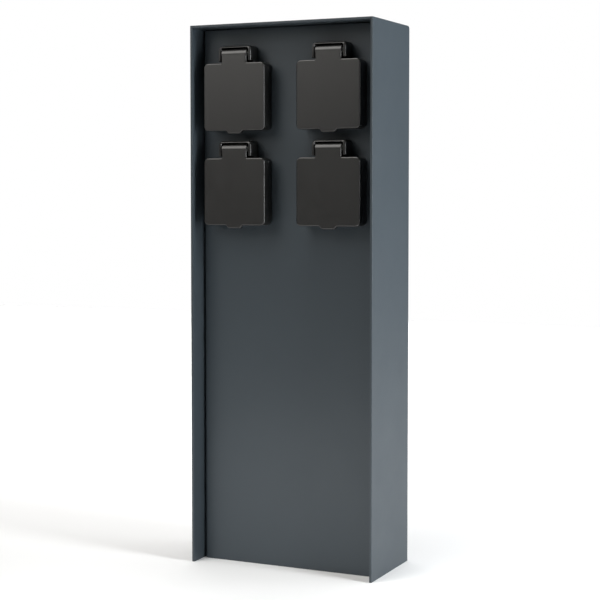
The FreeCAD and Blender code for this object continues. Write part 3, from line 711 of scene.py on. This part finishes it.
def lid_mesh():
    """One lid about its socket's centre: plate, skirt, rib and barrel, bored and notched."""
    face = round_corners([
        (LID_HALF_WIDTH, -LID_HALF_HEIGHT, LID_CORNER),
        (LID_HALF_WIDTH, LID_HALF_HEIGHT, LID_CORNER),
        (BARREL_HALF, LID_HALF_HEIGHT, NECK_CORNER),
        (BARREL_HALF, AXIS_UP, 0),
        (-BARREL_HALF, AXIS_UP, 0),
        (-BARREL_HALF, LID_HALF_HEIGHT, NECK_CORNER),
        (-LID_HALF_WIDTH, LID_HALF_HEIGHT, LID_CORNER),
        (-LID_HALF_WIDTH, -LID_HALF_HEIGHT, LID_CORNER),
        (-TAB_ROOT, -LID_HALF_HEIGHT, TAB_ROOT_CORNER),
        (-TAB_TIP, -LID_HALF_HEIGHT - TAB_DROP, TAB_TIP_CORNER),
        (TAB_TIP, -LID_HALF_HEIGHT - TAB_DROP, TAB_TIP_CORNER),
        (TAB_ROOT, -LID_HALF_HEIGHT, TAB_ROOT_CORNER),
    ], steps=8)
    plate_back = -LID_FRONT + LID_PLATE
    foot = plate_back - ROOTED
    plate = formed("lid_plate", face, "Y", -LID_FRONT, plate_back, LID_EDGE, 0, steps=4)
    skirt_path = rounded_rectangle(LID_HALF_WIDTH, LID_HALF_HEIGHT, LID_CORNER, steps=8)
    skirt_wall = wall_profile(foot, -LID_FRONT + LID_DEPTH, LID_WALL, LID_WALL_EDGE)
    skirt = frame_round("lid_skirt", skirt_path, skirt_wall)
    rib_path = rounded_rectangle(RIB_HALF_WIDTH, RIB_HALF_HEIGHT, RIB_CORNER)
    rib = frame_round("lid_rib", rib_path, wall_profile(foot, plate_back + RIB_HEIGHT, RIB_WALL, RIB_EDGE))
    barrel_outline = circle_of(BARREL_RADIUS, -AXIS_AHEAD, AXIS_UP, 64)
    barrel = formed("lid_barrel", barrel_outline, "X", -BARREL_HALF, BARREL_HALF, BARREL_EDGE, BARREL_EDGE)
    body = combined(plate, [skirt, rib, barrel], "UNION")
    bore_profile = [(BORE_RADIUS, -BORE_HALF), (BORE_RADIUS, BORE_HALF)]
    bore = turned("bore", bore_profile, "X", -AXIS_AHEAD, AXIS_UP, 32)
    nest = round_corners([
        (-AXIS_AHEAD - NEST_HALF, AXIS_UP - NEST_HALF, NEST_CORNER),
        (-AXIS_AHEAD - NEST_HALF, AXIS_UP + NEST_HALF, NEST_CORNER),
        (-AXIS_AHEAD + NEST_BACK, AXIS_UP + NEST_HALF, 0),
        (-AXIS_AHEAD + NEST_BACK, AXIS_UP - NEST_FOOT, 0),
        (plate_back, AXIS_UP - NEST_FOOT, 0),
        (plate_back, AXIS_UP - NEST_HALF, 0),
    ], steps=3)
    notch = formed("spring_nest", nest, "X", BARREL_HALF - NEST_LENGTH, BARREL_HALF + CUT_PAST)
    return combined(body, [bore, notch], "DIFFERENCE")


lid = lid_mesh()
for where, place in sockets.items():
    add_piece(f"hinged_lid_{where}", lid, lid_plastic, body=f"lid_{where}",
              nodes=[f"lid_{where}"], place=place)

# Seals and gaskets. Inside each lid a soft frame with a rounded lip presses on the housing's rim.
# Between each housing and the panel lies a thin frame of foam rubber, squeezed by the screws.
SEAL_HALF_WIDTH = 26.2
SEAL_HALF_HEIGHT = 26.0
SEAL_CORNER = 2.2
SEAL_BACK = -LID_FRONT + LID_PLATE
SEAL_LIP = ((0, 0), (0, 0.8), (-0.5, 1.2), (-1.4, 1.4), (-2.6, 1.4), (-3.4, 1.2), (-3.8, 0.7), (-3.8, 0))
FOAM_HALF = 26.0
FOAM_CORNER = 0.8
FOAM_STRIP = ((-0.2, 0), (0, 0.3), (0, 0.7), (-0.2, 1), (-2.3, 1), (-2.5, 0.7), (-2.5, 0.3), (-2.3, 0))
RUBBER_BLOOM = 1.35


def rubber(name, tint, low, high):
    """Soft rubber whose skin is paler where it has bloomed."""
    skin = Finish(name, tint, high, specular=0.35)
    paler = (*[min(1, part * RUBBER_BLOOM) for part in tint[:3]], 1)
    skin.tint_by(skin.noise(scale=60, detail=3), tint, paler)
    skin.rough_by(skin.noise(scale=200, detail=2), low, high)
    skin.relief_by(skin.noise(scale=1200, detail=3), depth_mm=0.03, strength=0.5)
    return skin.material


seal_rubber = rubber("seal_rubber", colour(24, 24, 24), low=0.6, high=0.75)
gasket_foam = rubber("gasket_foam", colour(30, 30, 31), low=0.8, high=0.95)
seal_path = rounded_rectangle(SEAL_HALF_WIDTH, SEAL_HALF_HEIGHT, SEAL_CORNER)
seal = frame_round("lid_lip", seal_path, [(out, SEAL_BACK + raised) for out, raised in SEAL_LIP])
gasket = frame_round("foam_frame", rounded_rectangle(FOAM_HALF, FOAM_HALF, FOAM_CORNER), FOAM_STRIP)
for where, place in sockets.items():
    add_piece(f"lid_lip_{where}", seal, seal_rubber, body=f"lid_{where}",
              nodes=[f"lid_seal_{where}"], place=place)
    add_piece(f"foam_frame_{where}", gasket, gasket_foam,
              nodes=[f"flange_gasket_{where}"], place=place)

# Hinge pins and springs. A drawn steel pin goes through ears and barrel. Round wire is wound on
# it at the right, one leg on the housing's wall and one behind the lid's neck, so the coil is
# twisted further as the lid opens.
PIN_START = -14.0
PIN_EDGE = 0.25
WIRE_RADIUS = 0.25
COIL_RADIUS = 1.95
COIL_TURNS = 9
COIL_START = 5.0
COIL_END = 11.82
TURN_STEPS = 12
REAR_LEG = ((-2.8, 2.6), (-7, 2.2))
FRONT_LEG = ((-12.0, -1.5), (-12.0, -5.6))


def drawn_steel(name, dark, light):
    """Bright steel with the fine lines of the drawing die along it."""
    steel = Finish(name, light, 0.3, metallic=1.0)
    steel.tint_by(steel.noise(scale=200, detail=2, stretch=(0.1, 1, 1)), dark, light)
    steel.rough_by(steel.noise(scale=700, stretch=(0.05, 1, 1)), low=0.22, high=0.38)
    steel.relief_by(steel.noise(scale=1500, stretch=(0.05, 1, 1)), depth_mm=0.008, strength=0.4)
    return steel.material


pin_steel = drawn_steel("pin_steel", colour(160, 160, 158), colour(190, 190, 188))
spring_steel = drawn_steel("spring_steel", colour(120, 120, 118), colour(150, 150, 147))


def spring_mesh():
    """The spring's wire along its path: rear leg, coil round the pin, and front leg."""
    points = [(COIL_END, back, AXIS_UP + above) for back, above in REAR_LEG]
    steps = COIL_TURNS * TURN_STEPS
    for step in range(steps + 1):
        turn = math.pi / 2 + math.tau * step / TURN_STEPS
        across = COIL_END + (COIL_START - COIL_END) * step / steps
        back = -AXIS_AHEAD + COIL_RADIUS * math.cos(turn)
        points.append((across, back, AXIS_UP + COIL_RADIUS * math.sin(turn)))
    points += [(COIL_START, back, AXIS_UP + above) for back, above in FRONT_LEG]
    curve = bpy.data.curves.new("spring_wire", "CURVE")
    curve.dimensions = "3D"
    curve.bevel_depth = WIRE_RADIUS * MM
    curve.bevel_resolution = 2
    curve.use_fill_caps = True
    line = curve.splines.new("POLY")
    line.points.add(len(points) - 1)
    for point, place in zip(line.points, points):
        point.co = (*[part * MM for part in place], 1)
    holder = bpy.data.objects.new("spring_wire", curve)
    bpy.context.scene.collection.objects.link(holder)
    graph = bpy.context.evaluated_depsgraph_get()
    mesh = bpy.data.meshes.new_from_object(holder.evaluated_get(graph))
    bpy.data.objects.remove(holder)
    return mesh


spring = spring_mesh()
pin_outline = circle_of(PIN_RADIUS, -AXIS_AHEAD, AXIS_UP, 40)
pin = formed("pin", pin_outline, "X", PIN_START, PIN_END, PIN_EDGE, PIN_EDGE)
for where, place in sockets.items():
    add_piece(f"pin_{where}", pin, pin_steel, nodes=[f"hinge_pin_{where}"], place=place)
    coil = add_piece(f"leg_spring_{where}", spring.copy(), spring_steel, body=None,
                     nodes=[f"lid_spring_{where}"], place=place)
    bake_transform(coil)

# Socket screws. Two zinc plated pan head screws under each lid, in opposite corners of the
# housing, with a cross recess. They pull the housing and its foam frame on to the panel.
HEAD_RADIUS = 3.4
PAN_HEAD = ((0.4, 2.2), (1.6, 2.15), (2.6, 1.85), (3.2, 1.2), (HEAD_RADIUS, 0.5), (HEAD_RADIUS, 0))
PAN_SHANK = ((SCREW_RADIUS, 0), (SCREW_RADIUS, 8.4), (1.2, 9))
CROSS_LONG = 2.0
CROSS_THIN = 0.45
CROSS_TOP = 3.0
CROSS_FLOOR = 0.9


def pan_screw(across, up):
    """One screw whose head rests on the front of the housing's flange."""
    profile = [(radius, -FLANGE_THICK - height) for radius, height in PAN_HEAD]
    profile += [(radius, -FLANGE_THICK + depth) for radius, depth in PAN_SHANK]
    head = turned(f"pan_screw_{across:.0f}_{up:.0f}", profile, "Y", across, up, 36)
    arms = []
    for wide, tall in ((CROSS_LONG, CROSS_THIN), (CROSS_THIN, CROSS_LONG)):
        arm = rounded_rectangle(wide, tall, 0, across, up)
        arms.append(formed("cross_arm", arm, "Y", -FLANGE_THICK - CROSS_TOP, -FLANGE_THICK - CROSS_FLOOR))
    return combined(head, arms, "DIFFERENCE")


screw_set = bmesh.new()
for side in (-1, 1):
    for x, y, z in sockets.values():
        screw_set.from_mesh(pan_screw(x / MM + side * SCREW_REACH, z / MM - side * SCREW_REACH))
screw_mesh = bpy.data.meshes.new("pan_screws")
screw_set.to_mesh(screw_mesh)
screw_set.free()
flange_plane = sockets["upper_left"][1]
add_piece("pan_screws", screw_mesh, screw_zinc, nodes=["socket_screws"],
          place=(0, flange_plane, 0))

# Contact carriers. Behind each dish a dark moulded block closes the boss and holds two brass
# contacts and the nickel plated earth clip, whose prongs come through the dish floor.
CARRIER_EDGE = 0.3
CONTACT_EDGE = 0.2
CLIP_EDGE = 0.15
carrier_plastic = moulded_plastic("carrier_plastic", colour(40, 40, 41), colour(48, 48, 49),
                                  low=0.45, high=0.6)


def bare_metal(name, dark, light, low, high):
    metal = Finish(name, light, high, metallic=1.0)
    metal.tint_by(metal.noise(scale=180, detail=4), dark, light)
    metal.rough_by(metal.noise(scale=500, detail=3), low, high)
    metal.relief_by(metal.noise(scale=1600, detail=2), depth_mm=0.01, strength=0.4)
    return metal.material


contact_brass = bare_metal("contact_brass", colour(182, 150, 84), colour(212, 180, 108), low=0.24, high=0.4)
clip_nickel = bare_metal("clip_nickel", colour(168, 164, 154), colour(200, 197, 188), low=0.2, high=0.34)
for where in sockets:
    broken_edges(f"contact_carrier_{where}", carrier_plastic, CARRIER_EDGE)
    broken_edges(f"contacts_{where}", contact_brass, CONTACT_EDGE)
    broken_edges(f"earth_clip_{where}", clip_nickel, CLIP_EDGE)

# Wiring. A pale terminal strip sits on the back of the panel with three brass clamps, and one
# sleeved wire each for live, earth and neutral climbs from it to the four contact carriers.
TERMINAL_EDGE = 0.4
CLAMP_EDGE = 0.3
STUD_EDGE = 0.25
WIRE_ROUND = 0.9
terminal_plastic = moulded_plastic("terminal_plastic", colour(205, 202, 192), colour(222, 219, 210),
                                   low=0.4, high=0.55)


def sleeve(name, tint, second):
    """Soft plastic sleeve whose two tones run along the wire."""
    skin = Finish(name, tint, 0.4, specular=0.5)
    skin.ramp_by(skin.noise(scale=30, detail=3, stretch=(1, 1, 0.2)), [(0.35, tint), (0.65, second)])
    skin.rough_by(skin.noise(scale=400, detail=2), low=0.34, high=0.48)
    skin.relief_by(skin.noise(scale=900, detail=2), depth_mm=0.02, strength=0.3)
    return skin.material


wire_finishes = {
    "wire_live": sleeve("sleeve_brown", colour(92, 56, 34), colour(104, 64, 40)),
    "wire_neutral": sleeve("sleeve_blue", colour(38, 84, 150), colour(46, 96, 164)),
    "wire_earth": sleeve("sleeve_green_yellow", colour(58, 122, 44), colour(206, 190, 52)),
}
broken_edges("terminal_block", terminal_plastic, TERMINAL_EDGE)
broken_edges("terminal_clamps", contact_brass, CLAMP_EDGE)
broken_edges("earth_stud", screw_zinc, STUD_EDGE)
for node, finish in wire_finishes.items():
    broken_edges(node, finish, WIRE_ROUND, segments=3)

# Studio. A plain pale floor under a white backdrop, with a weak even fill from the room. Soft
# warm lights stand high in front on the left, cool ones on the right and low in front, and one
# lamp behind on the left lights the floor.
FLOOR_REACH = 2.2
FLOOR_CELLS = 8
WARM = (1.0, 0.98, 0.945)
COOL = (0.96, 0.985, 1.0)
WHITE = (1, 1, 1)
FILL_TINT = (0.93, 0.96, 1.0, 1)
FILL_STRENGTH = 0.015
floor_mesh = bpy.data.meshes.new("studio_floor")
floor_shape = bmesh.new()
bmesh.ops.create_grid(floor_shape, x_segments=FLOOR_CELLS, y_segments=FLOOR_CELLS, size=FLOOR_REACH)
floor_shape.to_mesh(floor_mesh)
floor_shape.free()
floor = bpy.data.objects.new("studio_floor", floor_mesh)
bpy.context.scene.collection.objects.link(floor)
floor_paint = Finish("floor_paint", colour(244, 244, 244), 1.0, specular=0.0)
floor_paint.tint_by(floor_paint.noise(scale=0.6), colour(243, 243, 243), colour(246, 246, 246))
floor_mesh.materials.append(floor_paint.material)


def soft_light(name, place, target, size, power, tint, spread=180):
    """A rectangular lamp aimed at a target, unseen by the camera. Sizes and places in metres."""
    lamp = bpy.data.lights.new(name, "AREA")
    lamp.shape = "RECTANGLE"
    lamp.size, lamp.size_y = size
    lamp.spread = math.radians(spread)
    lamp.energy = power
    lamp.color = tint
    item = bpy.data.objects.new(name, lamp)
    item.location = place
    aim = Vector(target) - Vector(place)
    item.rotation_euler = aim.to_track_quat("-Z", "Y").to_euler()
    item.visible_camera = False
    bpy.context.scene.collection.objects.link(item)


soft_light("key_above_left", place=(-0.485, -0.747, 1.24), target=(0, 0, 0.35),
           size=(0.7, 1.9), power=9.6, tint=WARM)
soft_light("overhead", place=(-0.36, -0.63, 1.38), target=(0, 0, 0.35),
           size=(0.9, 1.5), power=6.5, tint=WARM)
soft_light("side_right", place=(1.6, 0.6, 0.6), target=(0.08, 0, 0.25),
           size=(0.9, 1.5), power=12, tint=COOL)
soft_light("strip_right", place=(0.7, -0.12, 0.32), target=(0.08, 0, 0.3),
           size=(0.2, 1.0), power=8.8, tint=COOL)
soft_light("low_front", place=(-0.06, -0.26, 0.04), target=(-0.03, 0, 0.04),
           size=(0.26, 0.08), power=0.07, tint=COOL, spread=120)
soft_light("floor_wash", place=(-0.9, 1.5, 1.5), target=(-0.9, 1.5, 0),
           size=(2.8, 2.6), power=32, tint=WHITE, spread=80)

world = bpy.data.worlds.new("studio_room")
world.use_nodes = True
room = world.node_tree
fill = room.nodes["Background"]
fill.inputs["Color"].default_value = FILL_TINT
fill.inputs["Strength"].default_value = FILL_STRENGTH
backdrop = room.nodes.new("ShaderNodeBackground")
backdrop.inputs["Color"].default_value = (*WHITE, 1)
rays = room.nodes.new("ShaderNodeLightPath")
chosen = room.nodes.new("ShaderNodeMixShader")
room.links.new(rays.outputs["Is Camera Ray"], chosen.inputs["Fac"])
room.links.new(fill.outputs["Background"], chosen.inputs[1])
room.links.new(backdrop.outputs["Background"], chosen.inputs[2])
room.links.new(chosen.outputs["Shader"], room.nodes["World Output"].inputs["Surface"])
bpy.context.scene.world = world
bpy.context.scene.view_settings.view_transform = "Standard"

# Camera, at the photograph's place: right of the front, level with the upper half, looking a
# little down. The small shift matches the photograph's framing.
CAMERA_PLACE = (533.0, -1134.0, 315.0)
CAMERA_YAW = 25.17
CAMERA_PITCH = -3.11
CAMERA_LENS = 89.83
CAMERA_SENSOR = 36
CAMERA_SHIFT = -0.05
lens = bpy.data.cameras.new("photo_camera")
lens.lens = CAMERA_LENS
lens.sensor_width = CAMERA_SENSOR
lens.shift_y = CAMERA_SHIFT
camera = bpy.data.objects.new("photo_camera", lens)
camera.location = [part * MM for part in CAMERA_PLACE]
camera.rotation_euler = (math.radians(90 + CAMERA_PITCH), 0, math.radians(CAMERA_YAW))
bpy.context.scene.collection.objects.link(camera)
bpy.context.scene.camera = camera
